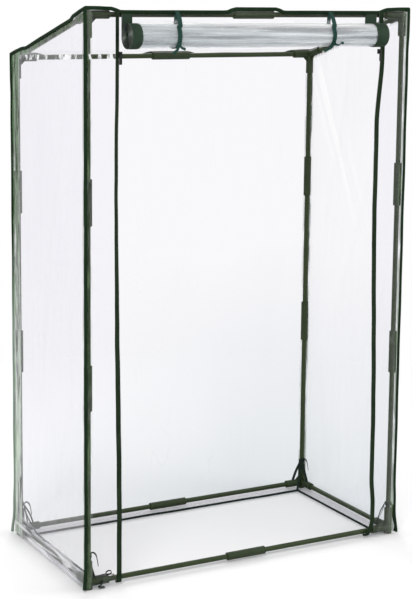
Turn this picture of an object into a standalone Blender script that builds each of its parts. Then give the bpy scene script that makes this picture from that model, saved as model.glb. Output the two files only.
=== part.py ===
"""Tomato greenhouse: a push-fit tube frame under a clear film cover with a roll-up door.

Metres, +Z up. The door faces -Y and +X is the right side seen from the door. The origin lies on
the floor under the middle of the whole greenhouse, the rolled door included.
"""

import math

import bmesh
import bpy
from mathutils import Matrix, Vector

# Frame: distances between tube centre lines
FRAME_WIDTH = 0.955
FRAME_DEPTH = 0.470
FRONT_HEIGHT = 1.476
BACK_HEIGHT = 1.351
RAIL_ABOVE_FLOOR = 0.018
LOWER_JOINT = 0.522
UPPER_JOINT_FRONT = 1.004
UPPER_JOINT_BACK = 0.977

# Clearance between pieces that touch, and the distance below which two mesh points are one
FIT = 0.0003
SAME_POINT = 0.000002

# Steel tubes
TUBE_RADIUS = 0.007
TUBE_WALL = 0.0006
ROUND_SIDES = 16
SMOOTH_ANGLE = math.radians(35)

# Inline sleeves that join two tubes end to end
SLEEVE_RADIUS = 0.011
SLEEVE_LENGTH = 0.120
SLEEVE_STOP = 0.004
MOUTH_BEVEL = 0.001

# Corner connectors
HUB_RADIUS = 0.012
HUB_RINGS = 10
CORE_MARGIN = 0.0012
ARM_LENGTH = 0.058
WEB_REACH = 0.023
WEB_THICKNESS = 0.005
FOOT_RADIUS = 0.0115
FOOT_BEVEL = 0.0012

# Film cover
FILM = 0.0004
SKIRT_REACH = 0.035
SKIRT_CORNER = 0.020
STRIP_BOTTOM = 0.004
BINDING = 0.005
BINDING_BOTTOM = 0.006

# Zips beside the doorway
ZIP_FROM_POST = 0.0795
ZIP_BOTTOM = 0.010
ZIP_TOP_DROP = 0.006
TAPE_WIDTH = 0.013
TAPE_THICKNESS = 0.001
COIL_WIDTH = 0.003
COIL_DEPTH = 0.0024
SLIDER_HEIGHT = 0.013
SLIDER_WALL = 0.0012
SLIDER_BRIDGE = 0.002
SLIDER_LIP = 0.0015
SLIDER_DROP = 0.115
EAR_THICKNESS = 0.0012
EAR_MARGIN = 0.0008
PIN_RADIUS = 0.0008
PIN_STAND_OFF = 0.0024
PULL_EYE_WIDTH = 0.0044
PULL_EYE_WALL = 0.0008
PULL_NECK = 0.0038
PULL_WIDTH = 0.008
PULL_LENGTH = 0.026
PULL_THICKNESS = 0.0012

# Rolled door
DOOR_FROM_ZIP = 0.012
DOOR_ROLL_RADIUS = 0.0312
DOOR_ROLL_DROP = 0.0525
DOOR_TURNS = 11.5
DOOR_TURN_PITCH = 0.0021
POINTS_PER_TURN = 18

# Ribbon ties that hold the rolled door
TIE_SPACING_SHARE = 0.486
TIE_WIDTH = 0.010
TIE_THICKNESS = 0.0008
TIE_TOP_DROP = 0.004
TIE_ARC_STEPS = 14
KNOT_SIZE = 0.009
KNOT_DEPTH = 0.005
KNOT_ANGLE = math.radians(50)
TAIL_WIDTH = 0.007
TAIL_LENGTH = 0.042
TAIL_SPLAY = math.radians(28)

# Places that follow from the sizes above. Where the roof's slope closes the angle between two arms
# of a corner connector, the solid core grows so that no socket cuts into the other arm.
SOCKET_RADIUS = TUBE_RADIUS + FIT
SOCKET_WALL_RADIUS = (SOCKET_RADIUS + SLEEVE_RADIUS) / 2
COVER_OFFSET = HUB_RADIUS + FIT
SIDE_INNER = FRAME_WIDTH / 2 + COVER_OFFSET
SIDE_OUTER = SIDE_INNER + FILM
FACE_INNER = FRAME_DEPTH / 2 + COVER_OFFSET
FACE_OUTER = FACE_INNER + FILM
ROOF_ANGLE = math.atan2(FRONT_HEIGHT - BACK_HEIGHT, FRAME_DEPTH)
SLOPED_REACH = SOCKET_RADIUS * math.sin(abs(ROOF_ANGLE))
HUB_CORE = (SLEEVE_RADIUS + SLOPED_REACH) / math.cos(ROOF_ANGLE) + CORE_MARGIN
ZIP_HALF_SPACING = FRAME_WIDTH / 2 - ZIP_FROM_POST
DOOR_HALF_WIDTH = ZIP_HALF_SPACING - DOOR_FROM_ZIP
DOOR_PLANE = -(FACE_INNER + FACE_OUTER) / 2
ROLL_Y = DOOR_PLANE - DOOR_ROLL_RADIUS
ROLL_Z = RAIL_ABOVE_FLOOR + FRONT_HEIGHT - DOOR_ROLL_DROP
TIE_OFFSET = FRAME_WIDTH / 2 * TIE_SPACING_SHARE
TIE_RADIUS = DOOR_ROLL_RADIUS + FILM / 2 + FIT + TIE_THICKNESS / 2
TAPE_PLANE = -(FACE_OUTER + FIT + TAPE_THICKNESS / 2)
SLIDER_HALF_DEPTH = COIL_DEPTH / 2 + FIT + SLIDER_WALL
SLIDER_HALF_WIDTH = SLIDER_BRIDGE / 2 + COIL_WIDTH + 2 * FIT + SLIDER_LIP
SLIDER_X = ZIP_HALF_SPACING - COIL_WIDTH / 2 - FIT - SLIDER_BRIDGE / 2
SLIDER_FRONT = TAPE_PLANE - SLIDER_HALF_DEPTH
FILM_EDGE_X = SLIDER_X + SLIDER_HALF_WIDTH + 2 * FIT
FRONT_MOST = ROLL_Y - TIE_RADIUS - TIE_THICKNESS / 2
BACK_MOST = FACE_OUTER + FIT + BINDING
CENTRE_SHIFT = -(FRONT_MOST + BACK_MOST) / 2

SIDES = {"left": -1, "right": 1}
ENDS = {"front": -1, "back": 1}
LEVELS = {"bottom": False, "top": True}


def roof_under(y):
    """Height of the roof film's underside above the floor, at depth y."""
    fall = math.tan(ROOF_ANGLE) * (y + FRAME_DEPTH / 2)
    return RAIL_ABOVE_FLOOR + FRONT_HEIGHT - fall + COVER_OFFSET / math.cos(ROOF_ANGLE)


def roof_over(y):
    return roof_under(y) + FILM / math.cos(ROOF_ANGLE)


def material(name, colour, roughness, metallic=0.0, alpha=1.0):
    made = bpy.data.materials.new(name)
    made.use_nodes = True
    shader = made.node_tree.nodes["Principled BSDF"]
    shader.inputs["Base Color"].default_value = (*colour, 1.0)
    shader.inputs["Roughness"].default_value = roughness
    shader.inputs["Metallic"].default_value = metallic
    shader.inputs["Alpha"].default_value = alpha
    return made


def make_materials():
    return {
        "tube": material("green_coated_steel", (0.042, 0.075, 0.033), 0.38, 0.2),
        "connector": material("green_moulded_plastic", (0.030, 0.056, 0.026), 0.5),
        "film": material("clear_film", (0.88, 0.90, 0.92), 0.12, 0.0, 0.3),
        "binding": material("green_binding_tape", (0.010, 0.030, 0.018), 0.7),
        "zip": material("green_zip_tape", (0.008, 0.024, 0.012), 0.6),
        "slider": material("black_zip_slider", (0.010, 0.012, 0.010), 0.4, 0.5),
        "tie": material("green_ribbon", (0.012, 0.040, 0.026), 0.75),
    }


def finish(name, shape, look, root, place=(0, 0, 0), turn=None):
    """Turns a bmesh into a named object that hangs on the root."""
    bmesh.ops.recalc_face_normals(shape, faces=shape.faces)
    mesh = bpy.data.meshes.new(name)
    shape.to_mesh(mesh)
    shape.free()
    mesh.shade_smooth()
    mesh.set_sharp_from_angle(angle=SMOOTH_ANGLE)
    mesh.materials.append(look)
    made = bpy.data.objects.new(name, mesh)
    made.location = place
    if turn is not None:
        made.rotation_mode = "QUATERNION"
        made.rotation_quaternion = turn
    made.parent = root
    bpy.context.scene.collection.objects.link(made)
    return made


def turned(profile, closed=False):
    """Solid of revolution about Z through (radius, height) points."""
    shape = bmesh.new()
    rings = []
    for radius, height in profile:
        if radius == 0:
            rings.append([shape.verts.new((0, 0, height))])
            continue
        angles = [2 * math.pi * i / ROUND_SIDES for i in range(ROUND_SIDES)]
        rings.append([shape.verts.new((radius * math.cos(a), radius * math.sin(a), height)) for a in angles])
    pairs = list(zip(rings, rings[1:]))
    if closed:
        pairs.append((rings[-1], rings[0]))
    for first, second in pairs:
        for i in range(ROUND_SIDES):
            j = (i + 1) % ROUND_SIDES
            near = [first[i % len(first)], first[j % len(first)]]
            far = [second[j % len(second)], second[i % len(second)]]
            shape.faces.new(list(dict.fromkeys(near + far)))
    return shape


def box(x, y, z):
    """Box between two values on each axis."""
    shape = bmesh.new()
    size = [high - low for low, high in (x, y, z)]
    middle = [(high + low) / 2 for low, high in (x, y, z)]
    bmesh.ops.create_cube(shape, size=1, matrix=Matrix.Translation(middle) @ Matrix.Diagonal((*size, 1)))
    return shape


def prism(outline, direction):
    """Closed outline of 3-D points, extruded along a vector."""
    shape = bmesh.new()
    face = shape.faces.new([shape.verts.new(point) for point in outline])
    grown = bmesh.ops.extrude_face_region(shape, geom=[face])
    moved = [item for item in grown["geom"] if isinstance(item, bmesh.types.BMVert)]
    bmesh.ops.translate(shape, verts=moved, vec=direction)
    return shape


def scratch(shape, turn=None):
    """Unnamed helper object for a Boolean."""
    bmesh.ops.recalc_face_normals(shape, faces=shape.faces)
    mesh = bpy.data.meshes.new("helper")
    shape.to_mesh(mesh)
    shape.free()
    helper = bpy.data.objects.new("helper", mesh)
    if turn is not None:
        helper.rotation_mode = "QUATERNION"
        helper.rotation_quaternion = turn
    bpy.context.scene.collection.objects.link(helper)
    return helper


def combined(first, added=(), removed=()):
    """Joins helper objects to the first and cuts others from it; gives the result as a bmesh."""
    tools = [(tool, "UNION") for tool in added] + [(tool, "DIFFERENCE") for tool in removed]
    for tool, operation in tools:
        modifier = first.modifiers.new(operation.lower(), "BOOLEAN")
        modifier.operation = operation
        modifier.solver = "EXACT"
        modifier.object = tool
    view = bpy.context.evaluated_depsgraph_get()
    view.update()
    result = bmesh.new()
    result.from_object(first, view)
    result.transform(first.matrix_world)
    bmesh.ops.remove_doubles(result, verts=result.verts, dist=SAME_POINT)
    bmesh.ops.dissolve_degenerate(result, edges=result.edges, dist=SAME_POINT)
    for used in [first, *added, *removed]:
        bpy.data.objects.remove(used, do_unlink=True)
    return result


def facing(direction):
    """Rotation that lays a piece's Z axis along a direction."""
    return Vector(direction).to_track_quat("Z", "Y")


def add_tube(name, start, end, look, root):
    """Hollow tube between two points."""
    run = Vector(end) - Vector(start)
    bore = TUBE_RADIUS - TUBE_WALL
    profile = [(TUBE_RADIUS, 0), (TUBE_RADIUS, run.length), (bore, run.length), (bore, 0)]
    return finish(name, turned(profile, closed=True), look, root, start, facing(run))


def add_sleeve(name, centre, direction, look, root):
    """Inline sleeve with a socket from each end and a stop in the middle."""
    half = SLEEVE_LENGTH / 2
    lip = SLEEVE_RADIUS - MOUTH_BEVEL
    upper = [
        (0, SLEEVE_STOP / 2),
        (SOCKET_RADIUS, SLEEVE_STOP / 2),
        (SOCKET_RADIUS, half),
        (lip, half),
        (SLEEVE_RADIUS, half - MOUTH_BEVEL),
    ]
    lower = [(radius, -height) for radius, height in reversed(upper)]
    return finish(name, turned(upper + lower), look, root, centre, facing(direction))


def add_run(names, start, end, joints, looks, root):
    """Tubes in line from hub to hub, with a sleeve centred on each joint distance from the start."""
    tube_names, sleeve_names = names
    start, end = Vector(start), Vector(end)
    way = (end - start).normalized()
    length = (end - start).length
    near_ends = [HUB_CORE + FIT] + [joint + SLEEVE_STOP / 2 + FIT for joint in joints]
    far_ends = [joint - SLEEVE_STOP / 2 - FIT for joint in joints] + [length - HUB_CORE - FIT]
    for name, near, far in zip(tube_names, near_ends, far_ends):
        add_tube(name, start + way * near, start + way * far, looks["tube"], root)
    for name, joint in zip(sleeve_names, joints):
        add_sleeve(name, start + way * joint, way, looks["connector"], root)


def corner(side, end, top):
    """Joint centre of a corner of the frame."""
    height = (FRONT_HEIGHT if end < 0 else BACK_HEIGHT) if top else 0
    return Vector((side * FRAME_WIDTH / 2, end * FRAME_DEPTH / 2, RAIL_ABOVE_FLOOR + height))


def add_frame_tubes(looks, root):
    middle = FRAME_WIDTH / 2
    for side_name, side in SIDES.items():
        for end_name, end in ENDS.items():
            place = f"{end_name}_{side_name}"
            upper = UPPER_JOINT_FRONT if end < 0 else UPPER_JOINT_BACK
            tubes = [f"post_{place}_{part}" for part in ("lower", "middle", "upper")]
            sleeves = [f"sleeve_post_{place}_{part}" for part in ("lower", "upper")]
            ends = corner(side, end, False), corner(side, end, True)
            add_run((tubes, sleeves), *ends, [LOWER_JOINT, upper], looks, root)
        bottom = corner(side, -1, False), corner(side, 1, False)
        add_run(([f"rail_side_bottom_{side_name}"], []), *bottom, [], looks, root)
        slope = corner(side, -1, True), corner(side, 1, True)
        add_run(([f"rafter_{side_name}"], []), *slope, [], looks, root)
    for end_name, end in ENDS.items():
        for level_name, top in LEVELS.items():
            place = f"{end_name}_{level_name}"
            tubes = [f"rail_{place}_{side_name}" for side_name in SIDES]
            ends = corner(-1, end, top), corner(1, end, top)
            add_run((tubes, [f"sleeve_rail_{place}"]), *ends, [middle], looks, root)


def web(first, second):
    """Triangular web between two arms, from the wall of one to the wall of the other."""
    normal = first.cross(second)
    across = normal.normalized()
    outline = [
        (first + second) * SOCKET_WALL_RADIUS / normal.length,
        first * WEB_REACH + across.cross(first) * SOCKET_WALL_RADIUS,
        second * WEB_REACH + second.cross(across) * SOCKET_WALL_RADIUS,
    ]
    half = across * WEB_THICKNESS / 2
    return scratch(prism([point - half for point in outline], 2 * half))


def connector_shape(side, end, top):
    """Three-way connector about its joint centre: hub, socket arms, webs and, at the bottom, a foot."""
    centre = corner(side, end, top)
    along = Vector((-side, 0, 0))
    inward = (corner(side, -end, top) - centre).normalized()
    post = Vector((0, 0, -1 if top else 1))
    hub = bmesh.new()
    bmesh.ops.create_uvsphere(hub, u_segments=ROUND_SIDES, v_segments=HUB_RINGS, radius=HUB_RADIUS)
    inside_hub = HUB_RADIUS / 2
    arm = [
        (0, -inside_hub),
        (SLEEVE_RADIUS, 0),
        (SLEEVE_RADIUS, ARM_LENGTH - MOUTH_BEVEL),
        (SLEEVE_RADIUS - MOUTH_BEVEL, ARM_LENGTH),
        (SOCKET_RADIUS, ARM_LENGTH),
        (SOCKET_RADIUS, HUB_CORE),
        (0, HUB_CORE),
    ]
    added = [scratch(turned(arm), facing(way)) for way in (along, inward, post)]
    added += [web(along, post), web(inward, post)]
    if not top:
        foot = [
            (0, -RAIL_ABOVE_FLOOR),
            (FOOT_RADIUS - FOOT_BEVEL, -RAIL_ABOVE_FLOOR),
            (FOOT_RADIUS, FOOT_BEVEL - RAIL_ABOVE_FLOOR),
            (FOOT_RADIUS, 0),
            (0, inside_hub),
        ]
        added.append(scratch(turned(foot)))
    return combined(scratch(hub), added)


def add_corner_connectors(looks, root):
    for side_name, side in SIDES.items():
        for end_name, end in ENDS.items():
            for level_name, top in LEVELS.items():
                name = f"corner_{end_name}_{level_name}_{side_name}"
                shape = connector_shape(side, end, top)
                finish(name, shape, looks["connector"], root, corner(side, end, top))


def add_cover(looks, root):
    """Film panels outside the frame, with the ground skirt turned in under the rails."""
    film = looks["film"]
    skirt_height = (FIT, FIT + FILM)
    for side_name, side in SIDES.items():
        x_inner, x_outer = side * SIDE_INNER, side * SIDE_OUTER
        ys = (-FACE_OUTER, FACE_OUTER)
        outline = [(x_inner, ys[0], FIT), (x_inner, ys[1], FIT)]
        outline += [(x_inner, y, roof_under(y) - FIT) for y in reversed(ys)]
        wall = scratch(prism(outline, (side * FILM, 0, 0)))
        skirt_x = sorted((x_outer, side * (FRAME_WIDTH / 2 - SKIRT_REACH)))
        skirt_y = (SKIRT_CORNER - FRAME_DEPTH / 2, FRAME_DEPTH / 2 - SKIRT_REACH - 2 * FIT)
        skirt = scratch(box(skirt_x, skirt_y, skirt_height))
        finish(f"cover_{side_name}", combined(wall, [skirt]), film, root)

        strip_x = sorted((side * FILM_EDGE_X, side * (SIDE_INNER - FIT)))
        strip_z = (STRIP_BOTTOM, roof_under(-FACE_INNER) - FIT)
        strip = box(strip_x, (-FACE_OUTER, -FACE_INNER), strip_z)
        finish(f"cover_front_strip_{side_name}", strip, film, root)

    back_x = SIDE_INNER - FIT
    back = scratch(box((-back_x, back_x), (FACE_INNER, FACE_OUTER), (FIT, roof_under(FACE_OUTER) - FIT)))
    skirt_x = FRAME_WIDTH / 2 - SKIRT_CORNER
    skirt = scratch(box((-skirt_x, skirt_x), (FRAME_DEPTH / 2 - SKIRT_REACH, FACE_OUTER), skirt_height))
    finish("cover_back", combined(back, [skirt]), film, root)

    outline = [(-SIDE_OUTER, y, roof_under(y)) for y in (-FACE_OUTER, FACE_OUTER)]
    outline += [(-SIDE_OUTER, y, roof_over(y)) for y in (FACE_OUTER, -FACE_OUTER)]
    finish("cover_roof", prism(outline, (2 * SIDE_OUTER, 0, 0)), film, root)


def add_edge_binding(looks, root):
    """Binding tape round the roof and down the four upright edges of the cover, in one piece."""
    x_near, y_near = SIDE_OUTER + FIT, FACE_OUTER + FIT
    x_far, y_far = x_near + BINDING, y_near + BINDING
    bars = []
    for end in ENDS.values():
        low = roof_over(end * FACE_OUTER) + FIT
        y_range = sorted((end * y_near, end * y_far))
        bars.append(scratch(box((-x_far, x_far), y_range, (low, low + BINDING))))
        for side in SIDES.values():
            x_range = sorted((side * x_near, side * x_far))
            bars.append(scratch(box(x_range, y_range, (BINDING_BOTTOM, low + BINDING / 2))))
    for side in SIDES.values():
        outline = [(side * x_near, y, roof_over(y) + FIT) for y in (-y_far, y_far)]
        outline += [(x, y, z + BINDING) for x, y, z in reversed(outline)]
        bars.append(scratch(prism(outline, (side * BINDING, 0, 0))))
    finish("edge_binding", combined(bars[0], bars[1:]), looks["binding"], root)


def add_zip_tapes(looks, root):
    """Half of each zip, sewn on the front strip: a flat tape with its coil on the doorway side."""
    top = roof_under(-FACE_INNER) - ZIP_TOP_DROP
    half_tape, half_coil = TAPE_THICKNESS / 2, COIL_DEPTH / 2
    coil_near, coil_far = -COIL_WIDTH / 2, COIL_WIDTH / 2
    section = [
        (coil_near, -half_coil),
        (coil_far, -half_coil),
        (coil_far, -half_tape),
        (TAPE_WIDTH, -half_tape),
        (TAPE_WIDTH, half_tape),
        (coil_far, half_tape),
        (coil_far, half_coil),
        (coil_near, half_coil),
    ]
    for side_name, side in SIDES.items():
        outline = [(side * x, y, 0) for x, y in section]
        place = (side * ZIP_HALF_SPACING, TAPE_PLANE, ZIP_BOTTOM)
        finish(f"zip_tape_{side_name}", prism(outline, (0, 0, top - ZIP_BOTTOM)), looks["zip"], root, place)


def slider_section():
    """H-shaped section of a zip slider: two plates, a bridge and a channel for each coil."""
    half_bridge = SLIDER_BRIDGE / 2
    chamber_x = half_bridge + COIL_WIDTH + 2 * FIT
    chamber_y = COIL_DEPTH / 2 + FIT
    throat = TAPE_THICKNESS / 2 + FIT
    quarter = [
        (half_bridge, 0),
        (half_bridge, chamber_y),
        (chamber_x, chamber_y),
        (chamber_x, throat),
        (SLIDER_HALF_WIDTH, throat),
        (SLIDER_HALF_WIDTH, SLIDER_HALF_DEPTH),
    ]
    right = [(x, -y) for x, y in reversed(quarter[1:])] + quarter[1:]
    left = [(-x, -y) for x, y in right]
    return right + left


def disc(radius, half_width):
    """Round bar along X, centred on the origin."""
    profile = [(0, -half_width), (radius, -half_width), (radius, half_width), (0, half_width)]
    return scratch(turned(profile), facing((1, 0, 0)))


def slider_shape():
    """Zip slider about its pin: the body, two ears on its front and the pin between them."""
    middle_y = PIN_STAND_OFF + SLIDER_HALF_DEPTH
    outline = [(x, y + middle_y, -SLIDER_HEIGHT / 2) for x, y in slider_section()]
    body = scratch(prism(outline, (0, 0, SLIDER_HEIGHT)))
    ear_near = PULL_EYE_WIDTH / 2 + FIT
    ear_far = ear_near + EAR_THICKNESS
    ear_height = PIN_RADIUS + EAR_MARGIN
    ear_y = (-ear_height, PIN_STAND_OFF + SLIDER_WALL / 2)
    ear_z = (-ear_height, ear_height)
    ears = [scratch(box(ear_x, ear_y, ear_z)) for ear_x in ((-ear_far, -ear_near), (ear_near, ear_far))]
    return combined(body, [*ears, disc(PIN_RADIUS, ear_near + EAR_THICKNESS / 2)])


def pull_shape():
    """Pull tab about the pin that its eye hangs on."""
    half_eye, half_wide, half_thick = PULL_EYE_WIDTH / 2, PULL_WIDTH / 2, PULL_THICKNESS / 2
    eye = disc(PIN_RADIUS + FIT + PULL_EYE_WALL, half_eye)
    neck = scratch(box((-half_eye, half_eye), (-half_thick, half_thick), (-PULL_NECK - half_thick, 0)))
    tab = scratch(box((-half_wide, half_wide), (-half_thick, half_thick), (-PULL_LENGTH, -PULL_NECK)))
    return combined(eye, [neck, tab], [disc(PIN_RADIUS + FIT, half_wide)])


def add_zip_sliders(looks, root):
    """Sliders on the zips, each with a pull tab on its pin; both have their origin on the pin."""
    height = roof_under(-FACE_INNER) - SLIDER_DROP
    for side_name, side in SIDES.items():
        place = (side * SLIDER_X, SLIDER_FRONT - PIN_STAND_OFF, height)
        finish(f"zip_slider_{side_name}", slider_shape(), looks["slider"], root, place)
        finish(f"zip_pull_{side_name}", pull_shape(), looks["slider"], root, place)


def roll_line():
    """Middle line of the door film seen from the side, from the header down and round the roll."""
    count = round(DOOR_TURNS * POINTS_PER_TURN)
    line = [Vector((DOOR_PLANE, roof_under(-FACE_INNER) - FIT))]
    for i in range(count + 1):
        turn = i / POINTS_PER_TURN
        radius = DOOR_ROLL_RADIUS - DOOR_TURN_PITCH * turn
        angle = 2 * math.pi * turn
        line.append(Vector((ROLL_Y + radius * math.cos(angle), ROLL_Z - radius * math.sin(angle))))
    return line


def widened(line, thickness):
    """Outline of a ribbon of even thickness along a line of (y, z) points."""
    left, right = [], []
    for i, point in enumerate(line):
        way = (line[min(i + 1, len(line) - 1)] - line[max(i - 1, 0)]).normalized()
        normal = Vector((-way.y, way.x)) * thickness / 2
        left.append(point + normal)
        right.append(point - normal)
    return left, right


def ribbon(line, thickness, x_start, x_end):
    """Solid ribbon of even thickness along a line of (y, z) points, between two x values."""
    shape = bmesh.new()
    rows = []
    for edge in widened(line, thickness):
        for x in (x_start, x_end):
            rows.append([shape.verts.new((x, y, z)) for y, z in edge])
    left_start, left_end, right_start, right_end = rows
    for first, second in (
        (left_start, left_end),
        (left_end, right_end),
        (right_end, right_start),
        (right_start, left_start),
    ):
        for i in range(len(line) - 1):
            shape.faces.new((first[i], first[i + 1], second[i + 1], second[i]))
    for i in (0, -1):
        shape.faces.new((left_start[i], left_end[i], right_end[i], right_start[i]))
    return shape


def least_roll_gap(line):
    """Smallest gap between the film of one turn and the next."""
    turns = line[1:]
    pairs = zip(turns, turns[POINTS_PER_TURN:])
    return min((near - far).length for near, far in pairs) - FILM


def add_rolled_door(looks, root):
    """Door film rolled up outside the doorway; its origin lies on the header seam that it swings from."""
    line = roll_line()
    hinge = line[0]
    local = [point - hinge for point in line]
    shape = ribbon(local, FILM, -DOOR_HALF_WIDTH, DOOR_HALF_WIDTH)
    finish("door_roll", shape, looks["film"], root, (0, *hinge))
    print(f"least gap between turns of the rolled door: {least_roll_gap(line) * 1000:.2f} mm")


def tie_line():
    """Line of a door tie from the header over the front of the roll, under it and up behind the film."""
    top = roof_under(-FACE_INNER) - TIE_TOP_DROP
    half_layers = FILM / 2 + FIT + TIE_THICKNESS / 2
    start = Vector((DOOR_PLANE - half_layers, top))
    to_centre = Vector((ROLL_Y, ROLL_Z)) - start
    lean = math.asin(TIE_RADIUS / to_centre.length)
    bearing = math.atan2(-to_centre.x, -to_centre.y) + lean
    first_angle = math.pi + bearing
    last_angle = 0.0
    line = [start]
    for i in range(TIE_ARC_STEPS + 1):
        angle = first_angle + (last_angle - first_angle) * i / TIE_ARC_STEPS
        offset = Vector((math.cos(angle), -math.sin(angle))) * TIE_RADIUS
        line.append(Vector((ROLL_Y, ROLL_Z)) + offset)
    line.append(Vector((DOOR_PLANE + half_layers, top)))
    return line


def add_door_ties(looks, root):
    """Two ribbons round the rolled door, each knotted in front with two tails."""
    line = tie_line()
    hinge = Vector((DOOR_PLANE, roof_under(-FACE_INNER) - FIT))
    local = [point - hinge for point in line]
    knot_middle = TIE_RADIUS + KNOT_DEPTH / 2
    knot_y = ROLL_Y - knot_middle * math.sin(KNOT_ANGLE) - hinge.x
    knot_z = ROLL_Z - knot_middle * math.cos(KNOT_ANGLE) - hinge.y
    at_knot = Matrix.Translation((0, knot_y, knot_z))
    half_knot, half_depth = KNOT_SIZE / 2, KNOT_DEPTH / 2
    for side_name, side in SIDES.items():
        band = scratch(ribbon(local, TIE_THICKNESS, -TIE_WIDTH / 2, TIE_WIDTH / 2))
        knot_shape = box((-half_knot, half_knot), (-half_depth, half_depth), (-half_knot, half_knot))
        lay = Matrix.Rotation(math.pi / 2 - KNOT_ANGLE, 4, "X")
        bmesh.ops.transform(knot_shape, matrix=at_knot @ lay, verts=knot_shape.verts)
        tails = []
        for splay in (-TAIL_SPLAY, TAIL_SPLAY):
            tail_y = (-TIE_THICKNESS / 2, TIE_THICKNESS / 2)
            tail = box((-TAIL_WIDTH / 2, TAIL_WIDTH / 2), tail_y, (-TAIL_LENGTH, 0))
            swing = Matrix.Rotation(splay, 4, "Y")
            bmesh.ops.transform(tail, matrix=at_knot @ swing, verts=tail.verts)
            tails.append(scratch(tail))
        shape = combined(band, [scratch(knot_shape), *tails])
        finish(f"door_tie_{side_name}", shape, looks["tie"], root, (side * TIE_OFFSET, *hinge))


def main():
    for old in list(bpy.data.objects):
        bpy.data.objects.remove(old, do_unlink=True)
    root = bpy.data.objects.new("greenhouse", None)
    root.location = (0, CENTRE_SHIFT, 0)
    bpy.context.scene.collection.objects.link(root)
    looks = make_materials()
    add_frame_tubes(looks, root)
    add_corner_connectors(looks, root)
    add_cover(looks, root)
    add_edge_binding(looks, root)
    add_zip_tapes(looks, root)
    add_zip_sliders(looks, root)
    add_rolled_door(looks, root)
    add_door_ties(looks, root)


main()
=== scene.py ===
import math

import bpy
from mathutils import Matrix, Vector, noise


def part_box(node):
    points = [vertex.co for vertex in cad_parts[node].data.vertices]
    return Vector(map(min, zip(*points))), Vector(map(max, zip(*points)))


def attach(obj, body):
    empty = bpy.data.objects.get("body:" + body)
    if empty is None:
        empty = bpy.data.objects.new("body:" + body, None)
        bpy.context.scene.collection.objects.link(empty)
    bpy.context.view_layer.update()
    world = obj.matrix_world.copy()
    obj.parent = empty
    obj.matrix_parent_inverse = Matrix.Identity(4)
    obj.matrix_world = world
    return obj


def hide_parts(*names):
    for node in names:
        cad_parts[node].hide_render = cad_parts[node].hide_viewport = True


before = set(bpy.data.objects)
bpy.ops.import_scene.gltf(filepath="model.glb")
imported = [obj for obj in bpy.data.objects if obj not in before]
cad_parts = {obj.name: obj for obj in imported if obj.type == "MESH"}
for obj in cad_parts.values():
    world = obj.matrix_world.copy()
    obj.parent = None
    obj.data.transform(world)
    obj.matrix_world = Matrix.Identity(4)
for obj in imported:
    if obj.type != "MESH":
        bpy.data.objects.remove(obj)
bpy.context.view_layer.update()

COVER = "frame_and_cover"
DOOR = "rolled_door"
SIDES = {"left": -1, "right": 1}
ENDS = {"front": -1, "back": 1}
CORNERS = [(f"{end}_{side}", ENDS[end], SIDES[side]) for end in ENDS for side in SIDES]
ALONG_X, ALONG_Y, UP = Vector((1, 0, 0)), Vector((0, 1, 0)), Vector((0, 0, 1))

# Photograph's camera: place, aim and focal length in the model's frame
PHOTO_HEIGHT_PIXELS = 599
CAMERA_PLACE = Vector((-2.0834, -3.7441, 1.5450))
CAMERA_YAW = 0.4927
CAMERA_PITCH = -0.1490
CAMERA_ROLL = 0.0088
FOCAL_PIXELS = 1548.2
SENSOR_WIDTH = 36
SHIFT_RIGHT = 0.0267
SHIFT_UP = -0.1212


def middle_of(name):
    """Middle of a node's box."""
    return sum((Vector(corner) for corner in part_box(name)), Vector()) / 2


# Frame and cover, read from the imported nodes
POST_FRONT = middle_of("post_front_right_lower")
POST_BACK = middle_of("post_back_right_lower")
POST_X, FRONT_Y, BACK_Y = POST_FRONT.x, POST_FRONT.y, POST_BACK.y
MIDDLE_Y, HALF_DEPTH = (FRONT_Y + BACK_Y) / 2, (BACK_Y - FRONT_Y) / 2
HALF_FILM = 0.0002
SIDE_FILM_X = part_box("cover_right")[1][0] - HALF_FILM
FRONT_FILM_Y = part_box("cover_front_strip_right")[0][1] + HALF_FILM
BACK_FILM_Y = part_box("cover_back")[1][1] - HALF_FILM
FILM_DEPTH = BACK_FILM_Y - FRONT_FILM_Y
FILM_OUT = SIDE_FILM_X - POST_X
ROOF_LOW, ROOF_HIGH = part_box("cover_roof")
ZIP_LOW, ZIP_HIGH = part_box("zip_tape_right")
RAIL_HEIGHT = 0.018
TUBE_RADIUS = 0.007
SLEEVE_RADIUS = 0.011
SLEEVE_FADE = 0.03
HUB_TOP = 0.0127
HUB_INWARD, HUB_OUTWARD, HUB_FADE = 0.012, 0.05, 0.045
FOOT_CLEAR = 0.020

# Film: its rest on a tube, its share of shade, and how far its edges are drawn in, as a share of their drop
FILM_REST = 0.0006
FILM_SHADE = 0.15
FILM_BODY = (0.78, 0.78, 0.82), (0.90, 0.90, 0.94)
FILM_SMOOTH_ANGLE = 60
IN_PANEL_FROM, IN_PANEL = 0.470, 0.480
REARWARD = (0.0, 0.2)
SIDE_DRAW = 0.9
END_DRAW = 0.4
DRAW_FADE = 0.16
ROOF_EDGE = 0.08
TURN_OVER = 0.0050
SKIRT_REACH = 0.035
FOLD_RADIUS = 0.006
FLOOR_GAP = 0.0012
BINDING_OUT = 0.0005

# Zips
COIL_INSET = 0.0015
COIL_PITCH = 0.0019
TAPE_SHARES = (0, 0.25, 0.5, 0.75, 1)
DOOR_ZIP_WIDTH = {"left": 0.030, "right": 0.038}

# Rolled door
ROLL_RADIUS = 0.0312
ROLL_HEIGHT = 1.4415
ROLL_TURNS = 11.5
TURN_PITCH = 0.0021
DOOR_HALF_WIDTH = 0.385
DOOR_PLANE = FRONT_FILM_Y
ROLL_CENTRE = Vector((0, DOOR_PLANE - ROLL_RADIUS, ROLL_HEIGHT))
ROLL_LEFTWARD = 0.0035
HEADER_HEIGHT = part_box("door_roll")[1][2]
TIE_OFFSET = 0.232
TIE_RADIUS = ROLL_RADIUS + 0.0012
TIE_SLANT = 0.022

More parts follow.
